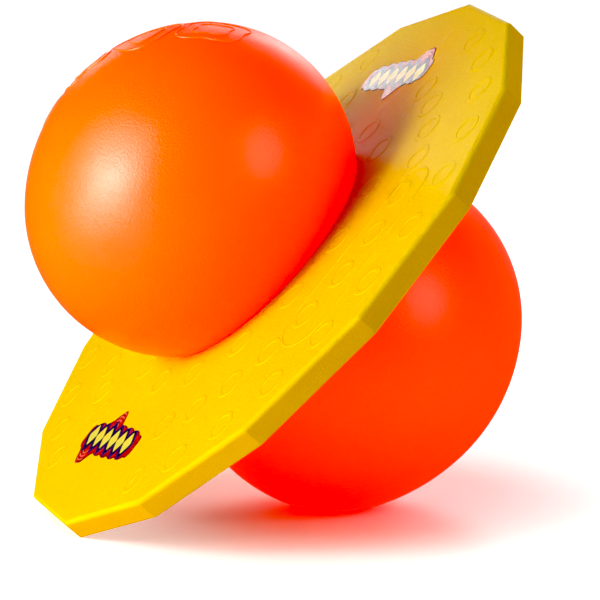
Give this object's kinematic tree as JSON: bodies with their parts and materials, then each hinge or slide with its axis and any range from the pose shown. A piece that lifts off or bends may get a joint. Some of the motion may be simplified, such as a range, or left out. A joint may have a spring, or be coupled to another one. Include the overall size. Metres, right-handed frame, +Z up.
{
  "type": "pogo ball",
  "caption": "Inflatable two-lobed jumping ball gripped at its waist by a rigid faceted standing platform, leaning at rest on one lobe and the platform's rim.",
  "frame": {"origin": "floor level under the middle of the leaning object's box", "axes": "+Z up from the floor; the ball's axis leans from +Z towards -X in the XZ plane; +Y along the platform's horizontal width"},
  "size_m": [0.3056, 0.4076, 0.3096],
  "materials": {
    "ball_skin": "satin, fine moulded grain",
    "platform": "semi-gloss with a fine stipple",
    "valve_rubber": "matte",
    "plug": "matte",
    "sticker": "gloss print"
  },
  "bodies": {
    "ball_and_platform": {"upper_lobe": "ball_skin", "lower_lobe": "ball_skin", "deck": "platform", "skirt": "platform", "collar": "platform", "ribs": "platform", "valve_sleeve": "valve_rubber", "near_sticker": "sticker", "far_sticker": "sticker"},
    "plug": {"valve_plug": "plug"}
  },
  "joints": [
    {"name": "plug_pull", "type": "slide", "parent": "ball_and_platform", "child": "plug", "axis": [0.7436, 0, -0.6686], "range_m": [0, 0.02]}
  ]
}
